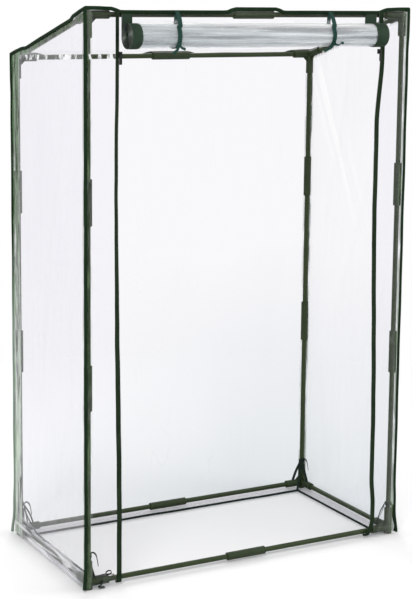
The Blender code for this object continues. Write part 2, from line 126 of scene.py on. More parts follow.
# Stage
FLOOR_HALF = 14
FLOOR_DROP = 0.0004
FLOOR_LIFT = 0.12
WORLD_LIGHT = 0.62


def roof_height(y):
    """Height of the roof film at depth y."""
    share = (y - ROOF_LOW[1]) / (ROOF_HIGH[1] - ROOF_LOW[1])
    return ROOF_HIGH[2] + (ROOF_LOW[2] - ROOF_HIGH[2]) * share


def smooth(value, start, end):
    """0 before start, 1 after end and an even turn between."""
    t = min(max((value - start) / (end - start), 0.0), 1.0)
    return t * t * (3 - 2 * t)


def wave(x, y, z=0.0):
    """Smooth random value from about -1 to 1, the same each run."""
    return noise.noise(Vector((x, y, z)))


def reach_of(name, axis):
    """Start and end of a node along one axis."""
    return tuple(corner[axis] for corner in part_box(name))


RAIL_TOP = middle_of("rail_front_top_right")
ROOF_SLOPE = math.atan2(ROOF_HIGH[2] - ROOF_LOW[2], ROOF_HIGH[1] - ROOF_LOW[1])
ROOF_CLEAR = (roof_height(RAIL_TOP.y) - RAIL_TOP.z) * math.cos(ROOF_SLOPE)
ARMS_ACROSS = [reach_of(f"corner_front_top_{side}", 0) for side in SIDES]
ARMS_BACKWARD = [tuple(y - MIDDLE_Y for y in reach_of(f"corner_{end}_bottom_left", 1)) for end in ENDS]
MIDDLE_SLEEVE = [reach_of("sleeve_rail_front_top", 0)]


def beside(value, spans, fade):
    """1 inside the spans, falling to 0 at the fade distance from them."""
    return max(1 - smooth(max(low - value, value - high), 0.0, fade) for low, high in spans)


def edge_drop(value, arms, sleeves, half_run):
    """How far the film of a top edge lies below its plane.

    It lies low on bare tube and higher over sleeves and connectors.
    """
    thick = beside(value, arms + sleeves, SLEEVE_FADE)
    height = TUBE_RADIUS + (SLEEVE_RADIUS - TUBE_RADIUS) * thick + FILM_REST
    hub = beside(abs(value), [(half_run - HUB_INWARD, half_run + HUB_OUTWARD)], HUB_FADE)
    return ROOF_CLEAR - height - (HUB_TOP - height) * hub


def turned_over(drop):
    """Further drop of the film right at the edge, where it turns over the tube."""
    return TURN_OVER * smooth(drop, 0.0, ROOF_CLEAR - TUBE_RADIUS)


def rail_drop(x):
    return edge_drop(x, ARMS_ACROSS, MIDDLE_SLEEVE, POST_X)


def rafter_drop(y):
    return edge_drop(y - MIDDLE_Y, ARMS_BACKWARD, [], HALF_DEPTH)


def side_draw(y):
    """How far a side panel's top edge is drawn in towards the bare rafter."""
    return SIDE_DRAW * rafter_drop(y)


def near_top(depth):
    """1 at a panel's top edge, falling to 0 where the film hangs free of it."""
    return 1 - smooth(depth, 0.0, DRAW_FADE)


def ridge(x, y, z=0.0):
    """Sharp crease lines: 1 on a crease, falling away on both sides."""
    return (1 - min(abs(wave(x, y, z)) * 4, 1)) ** 2


def swaying(value, seed):
    """Small random step in space that changes smoothly with value."""
    return Vector([wave(value, seed, axis) for axis in (1, 2, 3)])


# Materials

class Nodes:
    """Maker of nodes in one node tree. Inputs are numbers, colours or other nodes' outputs."""

    def __init__(self, tree):
        self.tree = tree

    def feed(self, node, inputs):
        for key, value in inputs.items():
            socket = node.inputs[key]
            if isinstance(value, bpy.types.NodeSocket):
                self.tree.links.new(value, socket)
            elif socket.type == "RGBA":
                socket.default_value = (*value, 1.0)
            else:
                socket.default_value = value

    def node(self, kind, inputs=None, **settings):
        made = self.tree.nodes.new(kind)
        for name, value in settings.items():
            setattr(made, name, value)
        self.feed(made, inputs or {})
        return made

    def ranged(self, value, low, high, new_low=0.0, new_high=1.0):
        inputs = {"Value": value, "From Min": low, "From Max": high, "To Min": new_low, "To Max": new_high}
        return self.node("ShaderNodeMapRange", inputs).outputs["Result"]

    def maths(self, operation, *values):
        """Result of a maths node, or of several in turn where there are more than two values."""
        result = values[0]
        for value in values[1:]:
            result = self.node("ShaderNodeMath", {0: result, 1: value}, operation=operation).outputs["Value"]
        return result

    def product(self, *values):
        return self.maths("MULTIPLY", *values)

    def total(self, *values):
        return self.maths("ADD", *values)

    def highest(self, *values):
        return self.maths("MAXIMUM", *values)

    def distance(self, value, centre):
        return self.maths("ABSOLUTE", self.maths("SUBTRACT", value, centre), 0.0)

    def seen(self):
        """1 for rays from the camera, from reflections and through glass, 0 for the light that pieces receive."""
        rays = self.node("ShaderNodeLightPath").outputs
        return self.highest(rays["Is Camera Ray"], rays["Is Glossy Ray"], rays["Is Transmission Ray"])


class Look(Nodes):
    """A node material under construction, in object coordinates, which are metres in the model's frame."""

    def __init__(self, name):
        self.made = bpy.data.materials.new(name)
        self.made.use_nodes = True
        super().__init__(self.made.node_tree)
        self.shader = self.tree.nodes["Principled BSDF"]
        self.place = self.node("ShaderNodeTexCoord").outputs["Object"]

    def axes(self):
        """Object coordinates X, Y and Z on their own."""
        return self.node("ShaderNodeSeparateXYZ", {0: self.place}).outputs

    def noise(self, scale, detail=3.0, roughness=0.5, distortion=0.0):
        """Noise with one scale, or with one for each axis."""
        scale = scale if isinstance(scale, tuple) else (scale,) * 3
        place = self.node("ShaderNodeMapping", {"Vector": self.place, "Scale": scale}).outputs["Vector"]
        inputs = {"Vector": place, "Scale": 1.0, "Detail": detail, "Roughness": roughness, "Distortion": distortion}
        return self.node("ShaderNodeTexNoise", inputs).outputs["Fac"]

    def bands(self, axis, per_metre, distortion):
        inputs = {"Vector": self.place, "Scale": per_metre * math.pi / 10, "Distortion": distortion}
        return self.node("ShaderNodeTexWave", inputs, wave_type="BANDS", bands_direction=axis).outputs["Fac"]

    def blended(self, factor, first, second):
        return self.node("ShaderNodeMix", {0: factor, 6: first, 7: second}, data_type="RGBA").outputs[2]

    def shade(self, **inputs):
        """Feed the material's own shader: its inputs are named with _ for a space."""
        self.feed(self.shader, {name.replace("_", " "): value for name, value in inputs.items()})

    def rough(self, factor, low, high):
        self.shade(Roughness=self.ranged(factor, 0.0, 1.0, low, high))

    def bumped(self, *layers):
        """Bump layers, each as (height, strength, distance)."""
        normal = {}
        for height, strength, distance in layers:
            inputs = {"Height": height, "Strength": strength, "Distance": distance, **normal}
            normal = {"Normal": self.node("ShaderNodeBump", inputs).outputs["Normal"]}
        self.feed(self.shader, normal)

    def mixed(self, share, first, second):
        """Mix of two surfaces: all of the second where share is 1."""
        return self.node("ShaderNodeMixShader", {0: share, 1: first, 2: second}).outputs[0]

    def surfaced(self, surface):
        self.feed(self.tree.nodes["Material Output"], {"Surface": surface})


def coated_steel():
    look = Look("coated_steel")
    patches = look.noise(14, 4)
    look.shade(Base_Color=look.blended(patches, (0.010, 0.020, 0.003), (0.027, 0.044, 0.011)))
    look.rough(look.noise((40, 40, 9), 3), 0.30, 0.50)
    look.bumped((look.noise(700, 2), 0.10, 0.0004), (look.noise((300, 300, 12), 2), 0.12, 0.0004))
    look.shade(Specular_IOR_Level=0.24, Coat_Weight=0.04, Coat_Roughness=0.25)
    return look.made


def moulded_plastic():
    look = Look("moulded_plastic")
    patches = look.noise(35, 4)
    look.shade(Base_Color=look.blended(patches, (0.010, 0.020, 0.005), (0.026, 0.041, 0.013)))
    look.rough(look.noise(60, 3), 0.42, 0.62)
    look.bumped((look.noise(1400, 2), 0.22, 0.0003), (look.noise(120, 2), 0.15, 0.0006))
    look.shade(Specular_IOR_Level=0.26)
    return look.made


def fold_highlight_streaks(look, x, y, z):
    """Painted highlight streaks along soft slanting folds in the right panel, drawn from the top back corner down
    to the front.
    """
    across = look.maths("SUBTRACT", look.product(y, 0.90), look.product(z, 0.43))
    line_place = look.node("ShaderNodeCombineXYZ", {"X": look.product(across, 34), "Y": look.product(z, 1.4)})
    lines = look.node("ShaderNodeTexNoise", {"Vector": line_place.outputs[0], "Scale": 1.0, "Detail": 2.0})
    folds = look.ranged(lines.outputs["Fac"], 0.44, 0.56)
    near = look.ranged(look.distance(across, -0.37), 0.070, 0.020)
    height = look.product(look.ranged(z, 0.85, 1.05), look.ranged(z, 1.40, 1.30))
    return look.product(folds, near, height, look.ranged(x, IN_PANEL_FROM, IN_PANEL))


def crumpled_share(look, x, y, z):
    """Where the film is crumpled or gathered.

    Returns (streaks at the bound edges over posts and rafters, the high part of the gathered back edge on the
    left, low crumples on the left and a packing fold). The first two carry a painted refraction of the green
    tubes, the last painted white highlights.
    """
    leftmost = look.ranged(x, -IN_PANEL_FROM, -IN_PANEL)
    near_back = look.product(leftmost, look.ranged(y, BACK_Y - 0.046, BACK_Y - 0.036))
    at_back = look.ranged(y, BACK_Y - 0.008, BACK_Y + 0.002)
    at_front = look.ranged(y, FRONT_Y + 0.008, FRONT_Y - 0.002)
    under_roof = look.total(z, look.product(y, math.tan(ROOF_SLOPE)))
    at_roof = look.ranged(under_roof, roof_height(0.0) - 0.030, roof_height(0.0) - 0.016)
    outermost = look.ranged(look.distance(x, 0.0), POST_X - 0.008, POST_X + 0.003)
    streaks = look.ranged(look.noise((70, 70, 9), 3, 0.6, 0.6), 0.36, 0.56)
    streaks = look.product(streaks, look.ranged(y, *REARWARD, 0.5, 1.0))
    over_tubes = look.product(outermost, look.highest(at_back, at_front, near_back, at_roof), streaks)
    gathered = look.product(near_back, look.ranged(z, 0.55, 0.95, 0.2, 1.0))

    crumples = look.ranged(look.noise((22, 6, 75), 3, 0.6, 0.8), 0.48, 0.58, 0.0, 0.62)
    behind_corner = look.product(leftmost, look.ranged(y, FRONT_Y + 0.03, FRONT_Y + 0.09))
    low = look.product(look.ranged(z, 0.075, 0.040), crumples, behind_corner)
    off_fold = look.distance(look.total(z, look.product(y, 0.043)), 1.3806)
    broken = look.ranged(look.noise((34, 26, 10), 3, 0.7, 0.5), 0.50, 0.58, 0.0, 0.9)
    back_corner = look.product(look.ranged(x, -0.34, -0.40), look.ranged(y, BACK_Y - 0.05, BACK_Y - 0.06))
    on_fold = look.product(look.ranged(off_fold, 0.009, 0.005), broken, back_corner)
    return over_tubes, gathered, look.highest(low, on_fold)


def streaked(look, y, z, own_colour, over_tubes, gathered, crumple_highlights):
    """Film's own colour with a painted refraction of the green tubes in streaks, and painted white highlights where
    it is crumpled.
    """
    # Painted refraction of the green tubes, in light and dark streaks, paler low down towards the back.
    rearward = look.ranged(y, *REARWARD)
    back_green = look.blended(look.ranged(z, 0.55, 0.95), (0.56, 0.68, 0.54), (0.13, 0.25, 0.12))
    light_green = look.blended(rearward, (0.18, 0.27, 0.14), back_green)
    low_back = look.product(rearward, look.ranged(z, 0.75, 0.50))
    dark_green = look.blended(low_back, (0.035, 0.070, 0.024), (0.34, 0.42, 0.33))
    greens = look.blended(look.ranged(look.noise((120, 120, 14), 2), 0.40, 0.62), dark_green, light_green)
    greenness = look.product(over_tubes, look.ranged(y, *REARWARD, 4.0, 1.0))
    greenness = look.highest(look.ranged(greenness, 0.0, 1.0), gathered)
    return look.blended(crumple_highlights, look.blended(greenness, own_colour, greens), (0.96, 0.96, 0.98))


def clear_film(name, veil, clear_low, clear_high, body=FILM_BODY, grain_scale=(60, 60, 5), crumpled=True):
    """See-through film. veil is its own share of the surface: (everywhere, on creases, at grazing angles).

    clear_low holds what the film lets through near the floor on the left and on the right, clear_high higher up; a
    darker clear_low is painted shade.
    body holds the dark and the light colour of the film's own share.
    """
    look = Look(name)
    x, y, z = look.axes()
    soft = look.noise((4, 4, 1.8), 3, 0.5, 0.3)
    grain = look.noise(grain_scale, 3, 0.6)
    creases = look.noise((9, 9, 3.5), 2, 0.5, 0.8)
    look.rough(grain, 0.08, 0.24)
    look.bumped((soft, 0.35, 0.02), (grain, 0.08, 0.002), (creases, 0.25, 0.006))
    crease_line = look.ranged(look.distance(creases, 0.5), 0.0, 0.012, 1.0, 0.0)
    crease_line = look.product(crease_line, look.ranged(look.noise(6, 2), 0.5, 0.7))
    mottle = look.total(look.product(soft, 0.5), look.product(grain, 0.5))
    own_colour = look.blended(look.ranged(mottle, 0.38, 0.60), *body)

    everywhere, on_creases, at_grazing = veil
    facing = look.node("ShaderNodeLayerWeight", {"Blend": 0.3}).outputs["Facing"]
    grazing = look.maths("POWER", facing, 2.0)
    shadow = look.node("ShaderNodeLightPath").outputs["Is Shadow Ray"]
    share = look.total(
        look.ranged(grain, 0.38, 0.66, 0.4 * everywhere, 1.9 * everywhere),
        look.product(crease_line, on_creases),
        look.product(grazing, at_grazing),
        look.product(shadow, FILM_SHADE),
    )
    high_share = look.ranged(look.total(z, look.ranged(soft, 0, 1, -0.10, 0.10)), 0.08, 0.78)
    high_share = look.highest(high_share, look.ranged(z, 0.012, 0.006))
    # Painted shade: low down the film lets through only what clear_low gives.
    clear_colour = look.blended(high_share, look.blended(look.ranged(x, -0.5, 0.25), *clear_low), clear_high)
    if crumpled:
        # Painted light on crumpled and gathered film: the tubes' green painted in as refraction, and white
        # highlights on crumples and a packing fold.
        over_tubes, gathered, crumple_highlights = crumpled_share(look, x, y, z)
        share = look.total(share, look.product(look.highest(over_tubes, crumple_highlights), 0.9))
        own_colour = streaked(look, y, z, own_colour, over_tubes, gathered, crumple_highlights)
        # Painted highlights: along the fold streaks the film lets all light through, so they show as white lines.
        clear_colour = look.blended(fold_highlight_streaks(look, x, y, z), clear_colour, (1.0, 1.0, 1.0))
    else:
        roll_top = ROLL_HEIGHT + ROLL_RADIUS
        share = look.product(share, look.ranged(z, roll_top + 0.002, roll_top + 0.010, 1.0, 0.08))
        # Painted highlight: the upper part of the roll is painted lighter, towards white. It is also darker towards
        # the left.
        painted_top_highlight = look.ranged(z, ROLL_HEIGHT + 0.006, ROLL_HEIGHT + 0.022, 0.0, 0.65)
        leftward = look.ranged(x, -0.05, -0.26, 0.0, 0.55)
        own_colour = look.blended(painted_top_highlight, own_colour, (1.0, 1.0, 1.0))
        own_colour = look.blended(leftward, own_colour, (0.52, 0.58, 0.60))
    look.shade(Base_Color=own_colour)
    clear = look.node("ShaderNodeBsdfTransparent", {"Color": clear_colour})
    look.surfaced(look.mixed(share, clear.outputs[0], look.shader.outputs[0]))
    return look.made


def woven(name, dark, light, ribs_per_metre, across="Z", film_glare=None):
    """Woven tape or ribbon: ribs across its length, a fine thread grain and a little fading.

    The pale colour given is painted glare: the tape is painted paler low on the back left edge, where a fold of the
    film lies over it.
    """
    look = Look(name)
    ribs = look.bands(across, ribs_per_metre, 0.4)
    threads = look.noise(1500, 2)
    fading = look.noise(22, 4)
    weave = look.blended(look.product(fading, look.ranged(ribs, 0, 1, 0.7, 1.3)), dark, light)
    # Painted glare of the film fold over the back left edge.
    if film_glare:
        x, y, z = look.axes()
        on_left, on_back = look.ranged(x, -POST_X, -POST_X - 0.006), look.ranged(y, BACK_Y, BACK_Y + 0.006)
        weave = look.blended(look.product(on_left, on_back, look.ranged(z, 0.85, 0.60)), weave, film_glare)
    look.shade(Base_Color=weave)
    look.rough(threads, 0.62, 0.88)
    look.bumped((ribs, 0.35, 0.0006), (threads, 0.30, 0.0004), (fading, 0.25, 0.003))
    look.shade(Specular_IOR_Level=0.06, Sheen_Weight=0.02, Sheen_Roughness=0.4)
    return look.made


def nylon_coil():
    look = Look("nylon_coil")
    look.shade(Base_Color=look.blended(look.noise(60, 3), (0.006, 0.012, 0.007), (0.030, 0.042, 0.030)))
    look.rough(look.noise(500, 2), 0.28, 0.5)
    look.bumped((look.noise(2500, 1), 0.2, 0.0002))
    return look.made


def painted_slider():
    look = Look("painted_slider")
    worn = look.ranged(look.noise(450, 4, 0.7), 0.62, 0.72)
    look.shade(Base_Color=look.blended(worn, (0.010, 0.013, 0.010), (0.16, 0.16, 0.15)))
    look.rough(look.noise(300, 3), 0.25, 0.5)
    look.bumped((look.noise(900, 3), 0.2, 0.0003))
    look.shade(Metallic=0.55)
    return look.made


def make_looks():
    film_veil = (0.006, 0.06, 1.0)
    # Painted shade: the side and back film lets less through low on the right, for the shadowed floor seen through
    # it.
    low_clear, low_painted_shade = (0.975, 0.98, 0.985), (0.77, 0.80, 0.82)
    front_clear, roll_clear = (0.99, 0.99, 0.995), (0.999, 0.999, 0.999)
    roll_body = (0.66, 0.71, 0.75), (0.88, 0.92, 0.93)
    film_glare_green = (0.20, 0.26, 0.21)
    return {
        "tube": coated_steel(),
        "connector": moulded_plastic(),
        "film": clear_film("clear_film", film_veil, (low_clear, low_painted_shade), (0.943, 0.937, 0.962)),
        "roof_film": clear_film(
            "clear_roof_film", (0.004, 0.04, 0.22), (low_clear, low_clear), (0.955, 0.950, 0.970)
        ),
        "front_film": clear_film(
            "clear_front_film", film_veil, (front_clear, front_clear), (0.965, 0.962, 0.978)
        ),
        "rolled_film": clear_film(
            "rolled_film", (0.27, 0.12, 0.40), (roll_clear, roll_clear), roll_clear, roll_body, (3, 75, 75), False
        ),
        "binding": woven("binding_tape", (0.003, 0.010, 0.004), (0.014, 0.034, 0.014), 900, film_glare=film_glare_green),
        "zip": woven("zip_tape_weave", (0.003, 0.010, 0.004), (0.022, 0.038, 0.018), 1100),
        "door_zip": woven("door_zip_weave", (0.006, 0.014, 0.008), (0.040, 0.068, 0.044), 1100, "X"),
        "coil": nylon_coil(),
        "slider": painted_slider(),
        "ribbon": woven("ribbon_weave", (0.006, 0.024, 0.018), (0.026, 0.072, 0.056), 1200),
        "thin_tie": woven("thin_tie_weave", (0.004, 0.008, 0.006), (0.020, 0.034, 0.026), 1500),
    }


# Mesh helpers

def piece(name, points, faces, look, body, slot, stands_for=None, smooth_angle=40):
    """Mesh that rides on a body, and is shown in place of the node that stands_for names."""
    mesh = bpy.data.meshes.new(name)
    mesh.from_pydata([tuple(p) for p in points], [], faces)
    mesh.shade_smooth()
    mesh.set_sharp_from_angle(angle=math.radians(smooth_angle))
    mesh.materials.append(look)
    mesh.update()
    made = bpy.data.objects.new(name, mesh)
    bpy.context.scene.collection.objects.link(made)
    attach(made, body)
    if stands_for:
        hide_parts(stands_for)
    return made


def grid(columns, rows, place):
    """Points and faces of a sheet; place(u, v) gives a point for u and v from 0 to 1."""
    points = [place(i / columns, j / rows) for j in range(rows + 1) for i in range(columns + 1)]
    wide = columns + 1
    faces = [
        (j * wide + i, j * wide + i + 1, (j + 1) * wide + i + 1, (j + 1) * wide + i)
        for j in range(rows)
        for i in range(columns)
    ]
    return points, faces


def film_panel(name, columns, rows, place, look, stands_for, body=COVER):
    points, faces = grid(columns, rows, place)
    return piece(name, points, faces, look, body, "film", stands_for, FILM_SMOOTH_ANGLE)


def tube_faces(rings, size):
    """Faces of a tube made of rings of points, capped at both ends."""
    faces = []
    for i in range(rings - 1):
        for k in range(size):
            m = (k + 1) % size
            faces.append((i * size + k, i * size + m, (i + 1) * size + m, (i + 1) * size + k))
    faces.append(tuple(reversed(range(size))))
    faces.append(tuple((rings - 1) * size + k for k in range(size)))
    return faces


def swept(path, across, section):
    """Points and faces of a section of (across, up) pairs carried along a path.

    across is the direction of its width, or a list of them, one for each point.
    """
    points = []
    for i, point in enumerate(path):
        before, after = path[max(i - 1, 0)], path[min(i + 1, len(path) - 1)]
        ahead = (after - before).normalized()
        side = across[i] if isinstance(across, list) else across
        side = (side - ahead * side.dot(ahead)).normalized()
        up = ahead.cross(side)
        points += [point + side * a + up * b for a, b in section]
    return points, tube_faces(len(path), len(section))


def joined(*parts):
    """One list of points and faces from several."""
    points, faces = [], []
    for some_points, some_faces in parts:
        start = len(points)
        points += some_points
        faces += [tuple(start + k for k in face) for face in some_faces]
    return points, faces


def oval(half_wide, half_high, count=10, squareness=1.0):
    """Closed outline between an ellipse (1) and a rounded rectangle (less than 1)."""
    outline = []
    for k in range(count):
        angle = 2 * math.pi * (k + 0.5) / count
        c, s = math.cos(angle), math.sin(angle)
        outline.append((
            half_wide * math.copysign(abs(c) ** squareness, c),
            half_high * math.copysign(abs(s) ** squareness, s),
        ))
    return outline


def curved(points, steps):
    """Smooth path through points (Catmull-Rom)."""
    path = []
    for i in range(len(points) - 1):
        p0 = points[max(i - 1, 0)]
        p1, p2 = points[i], points[i + 1]
        p3 = points[min(i + 2, len(points) - 1)]
        for k in range(steps):
            t = k / steps
            path.append(
                (p1 * 2 + (p2 - p0) * t + (p0 * 2 - p1 * 5 + p2 * 4 - p3) * t * t
                 + (p1 * 3 - p0 - p2 * 3 + p3) * t * t * t) / 2
            )
    path.append(points[-1].copy())
    return path


def round_point(centre, first, second, angle):
    """Point at an angle on an oval whose two half axes are given."""
    return centre + first * math.cos(angle) + second * math.sin(angle)


def ring(centre, first, second, steps):
    """Closed ring of points whose last point is its first again."""
    return [round_point(centre, first, second, 2 * math.pi * k / steps) for k in range(steps + 1)]


def way(x, y, z):
    return Vector((x, y, z)).normalized()


# Film panels

def slack(along, height, top, edges, seed):
    """How far a panel's film stands out of its plane: loose between the tubes, held at the edges."""
    near_edge = min(smooth(abs(along - edge), 0.012, 0.11) for edge in edges)
    near_rail = smooth(height, 0.02, 0.09) * smooth(top - height, 0.012, 0.09)
    free = near_edge * near_rail
    billow = 0.0055 * wave(along * 2.3, height * 1.6, seed)
    fold = 0.0022 * ridge(along * 5 + height * 1.2, height * 0.8 - along * 0.6, seed + 7)
    grain = 0.0007 * wave(along * 38, height * 5, seed + 3)
    return free * (billow + fold) + (0.25 + 0.75 * free) * grain


def wall_and_skirt(v, top):
    """Place on the profile of a panel at share v of its length: (height, reach inward, is_skirt share)."""
    skirt_length = SKIRT_REACH + FILM_OUT - FOLD_RADIUS
    wall_share, fold_share = 0.80, 0.90
    low = FLOOR_GAP + FOLD_RADIUS
    if v <= wall_share:
        return top + (low - top) * (v / wall_share), 0.0, 0.0
    if v <= fold_share:
        share = (v - wall_share) / (fold_share - wall_share)
        angle = share * math.pi / 2
        return low - FOLD_RADIUS * math.sin(angle), FOLD_RADIUS * (1 - math.cos(angle)), share
    share = (v - fold_share) / (1 - fold_share)
    return FLOOR_GAP, FOLD_RADIUS + skirt_length * share, 1.0


def mitre_start(reach):
    """How far a skirt's mitred end stays from the post's line, round the foot and along the mitre."""
    return max(FOOT_CLEAR, reach - FILM_OUT)


def narrowed(value, start, end, u, skirt):
    """Place along a panel at share u, narrowed to run from start to end where it is skirt."""
    return value + (start + (end - start) * u - value) * smooth(skirt, 0.0, 0.6)


def skirt_lift(skirt, reach, waviness):
    """How far the ripples of a skirt stand off the floor."""
    return skirt * smooth(reach, 0.012, 0.045) * 0.0022 * (1 + waviness)


def make_side_panels(looks):
    for name, side in SIDES.items():
        def place(u, v):
            y = FRONT_FILM_Y + FILM_DEPTH * u
            top = roof_height(y) - rafter_drop(y)
            height, reach, skirt = wall_and_skirt(v, top)
            draw = side_draw(y) * near_top(top - height)
            y = narrowed(y, FRONT_Y + FOOT_CLEAR, BACK_Y - mitre_start(reach), u, skirt)
            out = slack(y, height, top, (FRONT_Y, BACK_Y), 11 + side)
            lift = skirt_lift(skirt, reach, wave(y * 24, side * 3, 5))
            return Vector((side * (SIDE_FILM_X - draw - reach + out * (1 - skirt)), y, height + lift))

        made = film_panel(f"film_{name}", 56, 120, place, looks["film"], f"cover_{name}")


def make_back_panel(looks):
    def place(u, v):
        x = SIDE_FILM_X * (2 * u - 1)
        top = roof_height(BACK_FILM_Y) - rail_drop(x)
        height, reach, skirt = wall_and_skirt(v, top)
        draw = END_DRAW * rail_drop(x) * near_top(top - height)
        limit = POST_X - mitre_start(reach)
        x = narrowed(x, -limit, limit, u, skirt)
        out = slack(x, height, top, (-POST_X, POST_X), 31)
        lift = skirt_lift(skirt, reach, wave(x * 20, 9, 5))
        return Vector((x, BACK_FILM_Y - draw - reach + out * (1 - skirt), height + lift))

    made = film_panel("film_back", 96, 110, place, looks["film"], "cover_back")


def make_roof(looks):
    lowest = ROOF_CLEAR - TUBE_RADIUS - FILM_REST

    def place(u, v):
        x = SIDE_FILM_X * (2 * u - 1)
        y = FRONT_FILM_Y + FILM_DEPTH * v
        over_rafter, over_rail = rafter_drop(y), rail_drop(x)
        near_x = 1 - smooth(SIDE_FILM_X - abs(x), 0.0, ROOF_EDGE)
        near_y = 1 - smooth(min(y - FRONT_FILM_Y, BACK_FILM_Y - y), 0.0, ROOF_EDGE)
        inner = lowest + (over_rafter - lowest) * near_x
        drop = inner + (over_rail - inner) * near_y
        if near_x and near_y:
            corner_drop = min(over_rafter, over_rail)
            drop = corner_drop + (drop - corner_drop) * (1 - near_x * near_y)
        drop += turned_over(over_rail) * (1 - smooth(y - FRONT_FILM_Y, 0.0, 0.013))
        x -= math.copysign(side_draw(y) * near_x, x)
        y += END_DRAW * over_rail * near_y * (1 if y < MIDDLE_Y else -1)
        free_x = smooth(SIDE_FILM_X - abs(x), 0.02, 0.12)
        free = free_x * smooth(y - FRONT_Y, 0.0, ROOF_EDGE) * smooth(BACK_Y - y, 0.0, ROOF_EDGE)
        sag = -0.006 * free * (1 + 0.5 * wave(x * 3, y * 4, 2))
        folds = 0.002 * free * ridge(x * 4, y * 3, 8) + 0.0006 * wave(x * 30, y * 12, 4)
        return Vector((x, y, roof_height(y) - drop + sag + folds))

    made = film_panel("film_roof", 96, 48, place, looks["roof_film"], "cover_roof")


def make_front_strips(looks):
    low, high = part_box("cover_front_strip_right")
    for name, side in SIDES.items():
        def place(u, v):
            under_tape = zip_place(side, low[2] + (high[2] - low[2]) * (1 - v), 0.006)
            inner_x, inner_y = abs(under_tape.x), under_tape.y - FRONT_FILM_Y
            x = inner_x + (SIDE_FILM_X - inner_x) * u
            drop = rail_drop(x)
            z = low[2] + (high[2] - drop - turned_over(drop) - low[2]) * (1 - v)
            free = smooth(x - inner_x, 0.004, 0.03) * smooth(SIDE_FILM_X - x, 0.004, 0.03)
            out = -free * (0.002 + 0.0022 * wave(x * 9, z * 4, side * 5) + 0.0018 * ridge(x * 14, z * 6, side))
            crumple = (1 - smooth(z, 0.05, 0.12)) * free
            out -= crumple * 0.004 * (0.6 + wave(x * 55, z * 38, side * 9))
            near_tape = 1 - smooth(x - inner_x, 0.0, 0.035)
            back = END_DRAW * drop * near_top(high[2] - z) + (inner_y + 0.0006) * near_tape
            return Vector((side * x, FRONT_FILM_Y + back + out, z))

        node = f"cover_front_strip_{name}"
        made = film_panel(f"film_front_strip_{name}", 16, 170, place, looks["front_film"], node)


# Binding, hem and corner ties

def soft_path(start, end, seed):
    """Straight path between two points with a slight sway."""
    run = end - start
    count = max(2, round(run.length / 0.014))
    path = []
    for i in range(count + 1):
        share = i / count
        fade = min(1, 6 * share, 6 * (1 - share))
        path.append(start + run * share + swaying(share * run.length * 7, seed) * 0.0011 * fade)
    return path


def edge_along(start, end, corner_at, seed):
    """Path of a bound edge; corner_at(value) gives its place, and it sways slightly."""
    count = max(8, round((end - start) / 0.012))
    path = []
    for i in range(count + 1):
        value = start + (end - start) * i / count
        path.append(corner_at(value) + swaying(value * 8, seed) * 0.0010)
    return path


def make_binding(looks):
    """Folded tape over the roof's edges and down the four upright edges, as one soft strip."""
    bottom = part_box("edge_binding")[0][2]
    level, upright = oval(0.0032, 0.0050, 12, 0.7), oval(0.0044, 0.0036, 12, 0.7)
    sloped = oval(0.0036, 0.0048, 12, 0.7)
    reach = SIDE_FILM_X + BINDING_OUT
    parts = []
    for end in ENDS.values():
        face_y = FRONT_FILM_Y if end < 0 else BACK_FILM_Y

        def level_edge(x):
            drop = rail_drop(x)
            over = turned_over(drop) if end < 0 else 0.5 * turned_over(drop)
            z = roof_height(face_y) - drop - over - 0.0002
            return Vector((x, face_y + end * (BINDING_OUT - END_DRAW * drop), z))

        parts.append(swept(edge_along(-reach, reach, level_edge, end * 3), ALONG_Y, level))
        for side in SIDES.values():
            def upright_edge(z):
                loose = 0.006 * (1 - smooth(z, 0.0, 0.085)) ** 1.5
                tight = 0.0012 * smooth(z, 0.1, 0.16) * smooth(roof_height(face_y) - z, 0.06, 0.12)
                out = BINDING_OUT - tight + loose
                return Vector((side * (SIDE_FILM_X + out), face_y + end * out * 0.8, z))

            top = roof_height(face_y) - rail_drop(reach) + 0.002
            path = edge_along(bottom, top, upright_edge, end * 5 + side)
            parts.append(swept(path, way(side, -end, 0), upright))
    for side in SIDES.values():
        def sloped_edge(y):
            return Vector((side * (reach - side_draw(y)), y, roof_height(y) - rafter_drop(y) - 0.0008))

        path = edge_along(FRONT_FILM_Y - BINDING_OUT, BACK_FILM_Y + BINDING_OUT, sloped_edge, side * 7)
        parts.append(swept(path, ALONG_X, sloped))
    piece("soft_edge_binding", *joined(*parts), looks["binding"], COVER, "binding", "edge_binding")


def make_hem(looks):
    """Thin tape sewn on the skirt's inner edge, on the left, the back and the right."""
    hem_x, hem_y = POST_X - SKIRT_REACH, BACK_Y - SKIRT_REACH
    front = FRONT_Y + FOOT_CLEAR
    turns = (-hem_x, front), (-hem_x, hem_y), (hem_x, hem_y), (hem_x, front)
    corners = [Vector((x, y, FLOOR_GAP + 0.0040)) for x, y in turns]
    path = []
    for i in range(3):
        path += soft_path(corners[i], corners[i + 1], 60 + i)[: None if i == 2 else -1]
    points, faces = swept(path, UP, oval(0.0034, 0.0011, 8, 0.7))
    piece("skirt_hem", points, faces, looks["thin_tie"], COVER, "binding")


def loop_round(centre, axis, radius, start_angle, turns, climb):
    """Points of a ribbon wound round a tube."""
    axis = axis.normalized()
    first = axis.orthogonal().normalized() * radius
    second = axis.cross(first)
    count = 14 * turns
    return [
        round_point(centre + axis * climb * i / count, first, second, start_angle + 2 * math.pi * turns * i / count)
        for i in range(count + 1)
    ]


def ribbon_line(start, offsets, steps):
    """Smooth line through points that are given by their offsets from a start."""
    return curved([start + Vector(offset) for offset in offsets], steps)


